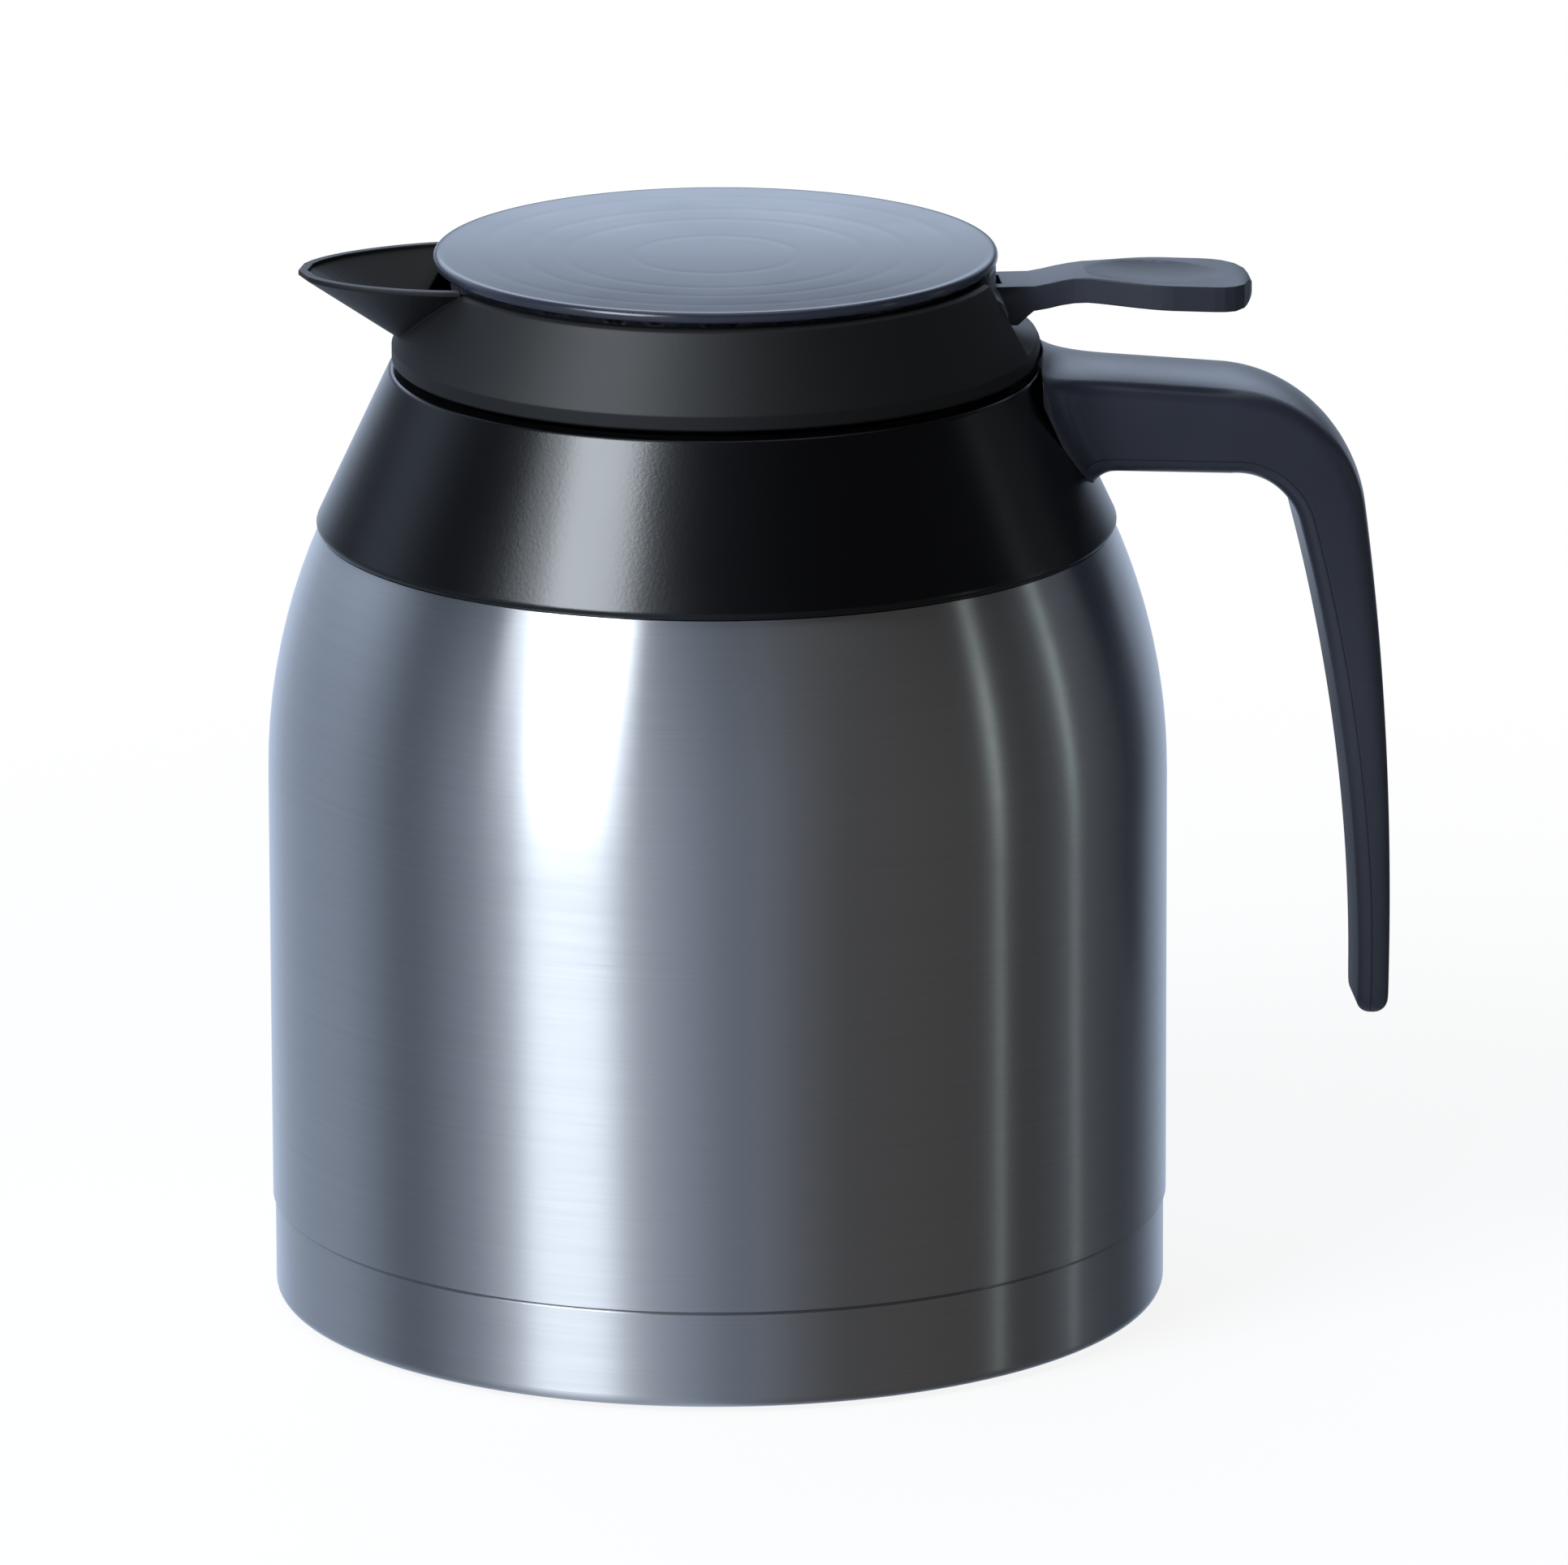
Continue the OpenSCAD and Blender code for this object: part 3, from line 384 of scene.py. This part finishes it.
def arm_station(x):
    flare = max(1 - (x - ROOT_X) / (FLARE_X - ROOT_X), 0)
    k = (x - ROOT_X) / (ARM_END_X - ROOT_X)
    z = ARM_END_Z + (ARM_END_X - x) * math.tan(ARM_TILT)
    t = between(ARM_T, BEND_T, k) + FLARE_T * flare ** 4
    return x, z, math.pi / 2 - ARM_TILT, t, between(ARM_W, BEND_W, k) + FLARE_W * flare ** 3


def bend_station(k):
    a = between(math.pi / 2 - ARM_TILT, GRIP_LEAN, k)
    x, z = BEND_X + BEND_R * math.cos(a), BEND_Z + BEND_R * math.sin(a)
    return x, z, a, between(BEND_T, GRIP_T, k), between(BEND_W, GRIP_W, k)


def grip_point(a):
    return GRIP_X - GRIP_ARC_R + GRIP_ARC_R * math.cos(a), GRIP_Z + GRIP_ARC_R * math.sin(a), a


def grip_station(k):
    t = TIP_T + (GRIP_T - TIP_T) * (1 - k) ** GRIP_TAPER
    return *grip_point(between(GRIP_LEAN, TIP_ANGLE, k)), t, between(GRIP_W, TIP_W, k)


def tip_station(b):
    s = math.sin(b) * TIP_ROUND
    nose = max(s - TIP_ROUND + TIP_NOSE, 0) / TIP_NOSE
    t = TIP_T * math.sqrt(1 - nose ** 2)
    return *grip_point(TIP_ANGLE - s / GRIP_ARC_R), t, TIP_W - (1 - math.cos(b)) * TIP_ROUND


def stations():
    rows = [arm_station(ROOT_X + (ARM_END_X - ROOT_X) * i / ARM_STEPS) for i in range(ARM_STEPS + 1)]
    rows += [bend_station(i / BEND_STEPS) for i in range(1, BEND_STEPS + 1)]
    rows += [grip_station(i / GRIP_STEPS) for i in range(1, GRIP_STEPS + 1)]
    turns = [TIP_TURN * math.sin(math.pi / 2 * i / TIP_STEPS) for i in range(1, TIP_STEPS + 1)]
    return rows + [tip_station(b) for b in turns]


def in_space(station, y, v):
    """A section's point: y runs across the handle, v outwards along its thickness."""
    x, z, a = station[:3]
    return x + v * math.cos(a), y, z + v * math.sin(a)


def round_corners(points, radius):
    """Rounds the marked corners of an open outline; each point is (y, v, rounded)."""
    out = []
    for i, (y, v, rounded) in enumerate(points):
        if not rounded:
            out.append((y, v))
            continue
        here = Vector((y, v))
        before = Vector(points[i - 1][:2]) - here
        after = Vector(points[i + 1][:2]) - here
        reach = min(radius, CORNER_SHARE * before.length, CORNER_SHARE * after.length)
        first = here + before.normalized() * reach
        last = here + after.normalized() * reach
        for k in range(CORNER_STEPS + 1):
            w = k / CORNER_STEPS
            spot = first * (1 - w) ** 2 + here * (2 * w * (1 - w)) + last * w ** 2
            out.append((spot.x, spot.y))
    return out


def shell_section(t, w):
    """Outer moulding: straight sides, soft edges and a crowned top; t is thick, w half wide."""
    low = -t / 2 + min(STRIP_T, STRIP_SHARE * t)
    edge = t * (0.5 - CROWN)
    knee = low + SHELL_KNEE * (edge - low)
    soft = min(SHELL_R, SHELL_R_SHARE * t)
    inner = w - soft
    crest = [inner * math.cos(math.pi * i / CROWN_STEPS) for i in range(CROWN_STEPS + 1)]
    outline = [(w, low, False), (w, knee, False), (w, edge, True)]
    outline += [(y, t / 2 - CROWN * t * (abs(y) / w) ** CROWN_POWER, False) for y in crest]
    outline += [(-w, edge, True), (-w, knee, False), (-w, low, False)]
    return round_corners(outline, soft)


def strip_section(t, w):
    """Inner strip: flat against the shell, with round edges towards the hand."""
    side = w - STRIP_SIDE_GAP
    top = -t / 2 + min(STRIP_T, STRIP_SHARE * t) - STRIP_SEAT_GAP
    r = min(STRIP_R, STRIP_R_SHARE * t)
    arc = [math.pi / 2 * i / STRIP_STEPS for i in range(STRIP_STEPS + 1)]
    left = [(-side + r - r * math.cos(b), -t / 2 + r - r * math.sin(b)) for b in arc]
    return [(-side, top)] + left + [(-y, v) for y, v in reversed(left)] + [(side, top)]


def outside(point):
    """How far a point lies outside the shoulder's cone, level with it."""
    x, y, z = point
    z = min(max(z, STEP_Z - CONE_BELOW), TOP_Z)
    cone_r = LIP_R + CONE_GAP - (z - STEP_Z) * (LIP_R - TOP_R) / (TOP_Z - STEP_Z)
    return math.hypot(x, y) - cone_r


def cut_to_cone(line):
    """Starts one lengthwise line of the handle where it leaves the shoulder, and spreads its points evenly."""
    start, first = line[0], 1
    for i in range(CUT_STEPS):
        here, there = outside(line[i]), outside(line[i + 1])
        if here < 0 <= there:
            w = here / (here - there)
            start, first = [a + (b - a) * w for a, b in zip(line[i], line[i + 1])], i + 1
    whole = [start] + line[first:CUT_STEPS]
    lengths = [0.0]
    for p, q in zip(whole, whole[1:]):
        lengths.append(lengths[-1] + math.dist(p, q))
    rows = []
    k = 0
    for j in range(CUT_STEPS):
        want = lengths[-1] * j / (CUT_STEPS - 1)
        while k < len(whole) - 2 and lengths[k + 1] < want:
            k += 1
        w = (want - lengths[k]) / (lengths[k + 1] - lengths[k])
        rows.append([a + (b - a) * w for a, b in zip(whole[k], whole[k + 1])])
    return rows + line[CUT_STEPS:]


def filleted(station, y, v):
    """Moves a point of a section outwards where it comes near the shoulder."""
    t, w = station[3:]
    near = outside(in_space(station, y, v))
    if near >= ROOT_FILLET:
        return y, v
    out = ROOT_FILLET - math.sqrt(ROOT_FILLET ** 2 - (ROOT_FILLET - max(near, 0.0)) ** 2)
    core_y, core_v = w - CORE_DEPTH, t / 2 - CORE_DEPTH
    core = Vector((max(min(y, core_y), -core_y), max(min(v, core_v), -core_v)))
    away = (Vector((y, v)) - core).normalized()
    return y + out * away.x, v + out * away.y * (TOP_FILLET_SHARE if away.y > 0 else 1.0)


def loft(name, section, node):
    """One moulding of the handle: its section at every station, cut to the shoulder."""
    grid = []
    for station in stations():
        row = [filleted(station, y, v) for y, v in section(*station[3:])]
        grid.append([in_space(station, y, v) for y, v in row])
    lines = [cut_to_cone([row[j] for row in grid]) for j in range(len(grid[0]))]
    count, length = len(lines), len(lines[0])
    points = [[c / 1000 for c in line[i]] for i in range(length) for line in lines]
    faces = tube_faces(length, count)
    faces.append(tuple(reversed(range(count))))
    faces.append(tuple((length - 1) * count + j for j in range(count)))
    piece = new_piece(name, new_mesh(name, points, faces, HANDLE_SHARP))
    stand_for(piece, node, "jug")


# Cover disc: one smooth hollow from rim to rim, with faint rings as a turning tool leaves them

DISC_R = 0.0435
DISC_Z = 0.1644
DISC_TOP = 0.1661
DISC_FOOT_R = 0.0006
DISC_RIM_R = 0.0009
RIM_LAND = 0.0004
DISH_DEPTH = 0.0010
RINGS = (0.3, 0.55, 0.7, 0.87)
RING_W, RING_H = 0.0009, 0.000012
ROUND_STEPS = 180
FOOT_STEPS, RIM_STEPS, DISH_STEPS = 6, 8, 110
DISC_SHARP = 40.0


def quarter_round(r, z, radius, start, steps):
    """A quarter circle about (r, z) from the angle start, anticlockwise."""
    turns = [start + math.pi / 2 * i / steps for i in range(steps + 1)]
    return [(r + radius * math.cos(b), z + radius * math.sin(b)) for b in turns]


def disc_profile():
    """Radius and height from the edge of the underside, over the rim, to just before the centre."""
    profile = quarter_round(DISC_R - DISC_FOOT_R, DISC_Z + DISC_FOOT_R, DISC_FOOT_R, -math.pi / 2, FOOT_STEPS)
    profile += quarter_round(DISC_R - DISC_RIM_R, DISC_TOP - DISC_RIM_R, DISC_RIM_R, 0.0, RIM_STEPS)
    dish_r = DISC_R - DISC_RIM_R - RIM_LAND
    for i in range(DISH_STEPS):
        share = 1 - i / DISH_STEPS
        ring = sum(math.exp(-(((share - spot) * dish_r / RING_W) ** 2)) for spot in RINGS)
        profile.append((dish_r * share, DISC_TOP - DISH_DEPTH * (1 - share ** 2) + RING_H * ring))
    return profile


def make_cover():
    profile = disc_profile()
    turns = [k / ROUND_STEPS * math.tau for k in range(ROUND_STEPS)]
    points = [(r * math.cos(b), r * math.sin(b), z) for r, z in profile for b in turns]
    points.append((0.0, 0.0, DISC_TOP - DISH_DEPTH))
    centre = len(points) - 1
    last = centre - ROUND_STEPS
    faces = tube_faces(len(profile), ROUND_STEPS)
    faces += [(last + k, last + (k + 1) % ROUND_STEPS, centre) for k in range(ROUND_STEPS)]
    faces.append(tuple(reversed(range(ROUND_STEPS))))
    piece = new_piece("cover_disc", new_mesh("cover_disc", points, faces, DISC_SHARP))
    stand_for(piece, "lid_cover", "flip_lid")


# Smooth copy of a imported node

MERGE_DISTANCE = 0.00002
COPY_SHARP = 22.0


def smooth_copy(node, body):
    """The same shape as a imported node, with its curved faces shaded smooth."""
    mesh = frame["nodes"][node].data.copy()
    work = bmesh.new()
    work.from_mesh(mesh)
    bmesh.ops.remove_doubles(work, verts=work.verts, dist=MERGE_DISTANCE)
    work.to_mesh(mesh)
    work.free()
    shade_smooth(mesh, COPY_SHARP)
    piece = new_piece(node + "_smooth", mesh)
    weighted = piece.modifiers.new("weighted", "WEIGHTED_NORMAL")
    weighted.keep_sharp = True
    stand_for(piece, node, body)


# Floor: it takes the carafe's shade and fades to plain white away from it

FLOOR_SIZE = 12.0
# The floor lies a little below the carafe, so that the two faces don't share a plane
FLOOR_DROP = 0.0001
# For the camera, plain white takes this share near the carafe and all of the floor far from it
FADE_NEAR, FADE_FAR = 0.1, 0.45
FADE_SHARE = 0.88


def make_floor():
    bpy.ops.mesh.primitive_plane_add(size=FLOOR_SIZE, location=(0.0, 0.0, -FLOOR_DROP))
    floor = bpy.context.object
    floor.name = "floor"
    g = Graph("floor")
    set_inputs(g.shader, Roughness=0.9, Base_Color=WHITE, Specular_IOR_Level=0.1)
    path = g.add("ShaderNodeLightPath")
    coords = g.add("ShaderNodeTexCoord")
    distance = g.add("ShaderNodeVectorMath")
    distance.operation = "LENGTH"
    fade = g.add("ShaderNodeMapRange", From_Min=FADE_NEAR, From_Max=FADE_FAR, To_Min=FADE_SHARE, To_Max=1.0)
    fade.interpolation_type = "SMOOTHSTEP"
    seen = g.add("ShaderNodeMath")
    seen.operation = "MULTIPLY"
    glow = g.add("ShaderNodeEmission", Color=WHITE)
    clear = g.add("ShaderNodeBsdfTransparent")
    g.link(coords.outputs["Object"], distance.inputs[0])
    g.link(distance.outputs["Value"], fade.inputs["Value"])
    g.link(fade.outputs["Result"], seen.inputs[0])
    g.link(path.outputs["Is Camera Ray"], seen.inputs[1])
    plain = mix_shaders(g.tree, seen.outputs["Value"], g.shader.outputs["BSDF"], glow.outputs["Emission"])
    surface = mix_shaders(g.tree, path.outputs["Is Glossy Ray"], plain, clear.outputs["BSDF"])
    g.link(surface, g.output.inputs["Surface"])
    floor.data.materials.append(g.material)


# World: a studio whose level depends on the direction

# Degrees round from the front, positive to the right; the level there; and how blue it is, from 0 to 1
ROOM = [
    (-180, 1.1, 1.0), (-165, 0.85, 1.0), (-150, 0.52, 1.0), (-136, 0.42, 1.0), (-115, 0.36, 1.0),
    (-101, 0.21, 1.0), (-93, 0.145, 1.0), (-85, 0.19, 1.0), (-75, 0.33, 0.9), (-64, 0.42, 0.8),
    (-52, 0.52, 0.7), (-24, 0.5, 0.7), (-12, 0.36, 0.9), (-2, 0.25, 0.9), (8, 0.23, 0.7),
    (16, 0.16, 0.5), (28, 0.1, 0.1), (44, 0.095, 0.0), (60, 0.085, 0.0), (84, 0.06, 0.0),
    (92, 0.09, 0.4), (102, 0.12, 0.6), (116, 0.075, 0.6), (130, 0.06, 0.8), (142, 0.25, 1.0),
    (154, 0.6, 1.0), (168, 0.86, 1.0), (180, 0.96, 1.0),
]
NEUTRAL = (1.0, 1.0, 1.02)
BLUE = (0.8, 0.95, 1.2)

# What the level is multiplied by at each height of the direction (its sine), in front and behind
FRONT_LIFT = [(-1.0, 1.0), (-0.05, 1.0), (0.1, 1.5), (0.25, 1.3), (0.4, 0.3), (1.0, 0.3)]
BACK_LIFT = [
    (-1.0, 1.0), (-0.02, 0.9), (0.06, 0.3), (0.13, 0.25), (0.18, 0.58), (0.225, 1.15), (0.27, 1.9),
    (0.31, 2.4), (0.5, 2.2), (0.8, 1.0),
]

# How far back a direction points (its Y) where the one gives way to the other
BACK_FROM, BACK_FULL = 0.2, 0.7

# A ramp's colours stay under 1, so both tables are divided by these and the strength makes up for it
ROOM_TOP = 1.3
LIFT_TOP = 2.4

# Sockets of a Mix node for colours, which share their names with its other kinds
MIX_FACTOR, MIX_A, MIX_B, MIX_RESULT = 0, 6, 7, 2


def add_ramp(tree, value, reach, table):
    """Colours over a value between -reach and reach; a row is a place from -1 to 1, and a colour."""
    span = add_node(tree, "ShaderNodeMapRange", From_Min=-reach, From_Max=reach)
    ramp = add_node(tree, "ShaderNodeValToRGB")
    stops = ramp.color_ramp.elements
    while len(stops) < len(table):
        stops.new(0.5)
    for stop, (place, colour) in zip(stops, table):
        stop.position = place / 2 + 0.5
        stop.color = (*colour, 1.0)
    tree.links.new(value, span.inputs["Value"])
    tree.links.new(span.outputs["Result"], ramp.inputs["Fac"])
    return ramp.outputs["Color"]


def add_mix(tree, blend_type, first, second):
    mix = add_node(tree, "ShaderNodeMix")
    mix.data_type = "RGBA"
    mix.blend_type = blend_type
    tree.links.new(first, mix.inputs[MIX_A])
    tree.links.new(second, mix.inputs[MIX_B])
    return mix


def room_colour(tree, split):
    """The studio's colour by the angle round the carafe."""
    front = add_node(tree, "ShaderNodeMath")
    front.operation = "MULTIPLY"
    front.inputs[1].default_value = -1.0
    angle = add_node(tree, "ShaderNodeMath")
    angle.operation = "ARCTAN2"
    tree.links.new(split.outputs["Y"], front.inputs[0])
    tree.links.new(split.outputs["X"], angle.inputs[0])
    tree.links.new(front.outputs["Value"], angle.inputs[1])
    table = []
    for degrees, level, blue in ROOM:
        colour = [level / ROOM_TOP * (n + (b - n) * blue) for n, b in zip(NEUTRAL, BLUE)]
        table.append((degrees / 180, colour))
    return add_ramp(tree, angle.outputs["Value"], math.pi, table)


def room_lift(tree, split):
    """What the colour is multiplied by at each height."""
    front, back = [
        add_ramp(tree, split.outputs["Z"], 1.0, [(height, [level / LIFT_TOP] * 3) for height, level in table])
        for table in (FRONT_LIFT, BACK_LIFT)
    ]
    behind = add_node(tree, "ShaderNodeMapRange", From_Min=BACK_FROM, From_Max=BACK_FULL)
    lift = add_mix(tree, "MIX", front, back)
    tree.links.new(split.outputs["Y"], behind.inputs["Value"])
    tree.links.new(behind.outputs["Result"], lift.inputs[MIX_FACTOR])
    return lift.outputs[MIX_RESULT]


def make_world():
    """White for the camera, and the studio for everything else."""
    world = bpy.data.worlds.new("studio")
    bpy.context.scene.world = world
    world.use_nodes = True
    tree = world.node_tree
    tree.nodes.clear()
    output = add_node(tree, "ShaderNodeOutputWorld")
    path = add_node(tree, "ShaderNodeLightPath")
    coords = add_node(tree, "ShaderNodeTexCoord")
    split = add_node(tree, "ShaderNodeSeparateXYZ")
    tree.links.new(coords.outputs["Generated"], split.inputs["Vector"])
    studio = add_mix(tree, "MULTIPLY", room_colour(tree, split), room_lift(tree, split))
    studio.inputs[MIX_FACTOR].default_value = 1.0
    room = add_node(tree, "ShaderNodeBackground", Strength=ROOM_TOP * LIFT_TOP)
    white = add_node(tree, "ShaderNodeBackground", Color=WHITE)
    tree.links.new(studio.outputs[MIX_RESULT], room.inputs["Color"])
    light = mix_shaders(
        tree, path.outputs["Is Camera Ray"], room.outputs["Background"], white.outputs["Background"],
    )
    tree.links.new(light, output.inputs["Surface"])


# Lamps

LAMP_TARGET = Vector((0.0, 0.0, 0.09))
KEY_TINT = (0.88, 0.955, 1.03)
STRIP_TINT = (0.85, 1.0, 0.95)
TOP_TINT = (0.9, 0.96, 1.0)

# Name, azimuth and elevation in degrees, distance, width, height, power in watts, tint
LAMPS = [
    ("key", -45.0, 35.0, 1.6, 0.6, 0.8, 20.5, KEY_TINT),
    ("key_side", -62.0, 40.0, 1.6, 0.4, 0.6, 4.2, KEY_TINT),
    ("strip_near", 69.5, 6.0, 1.6, 0.03, 0.8, 0.24, STRIP_TINT),
    ("strip_far", 95.5, 6.0, 1.6, 0.03, 0.8, 0.18, STRIP_TINT),
    ("top", 170.0, 78.0, 1.5, 1.2, 1.2, 4.0, TOP_TINT),
]


def softbox(name, azimuth, elevation, distance, width, height, power, tint):
    """A rectangular lamp that faces the carafe; azimuth 0 is in front, positive to the right."""
    data = bpy.data.lights.new(name, "AREA")
    data.shape = "RECTANGLE"
    data.size = width
    data.size_y = height
    data.energy = power
    data.color = tint
    lamp = bpy.data.objects.new(name, data)
    bpy.context.scene.collection.objects.link(lamp)
    a = math.radians(azimuth)
    e = math.radians(elevation)
    way = Vector((math.sin(a) * math.cos(e), -math.cos(a) * math.cos(e), math.sin(e)))
    lamp.location = LAMP_TARGET + distance * way
    lamp.rotation_euler = (LAMP_TARGET - lamp.location).to_track_quat("-Z", "Y").to_euler()


make_camera()
dress_nodes()
loft("handle_back", shell_section, "handle_shell")
loft("handle_front", strip_section, "handle_cover")
make_cover()
smooth_copy("lid_frame", "flip_lid")
make_floor()
make_world()
for lamp in LAMPS:
    softbox(*lamp)
bpy.context.scene.view_settings.view_transform = "Standard"
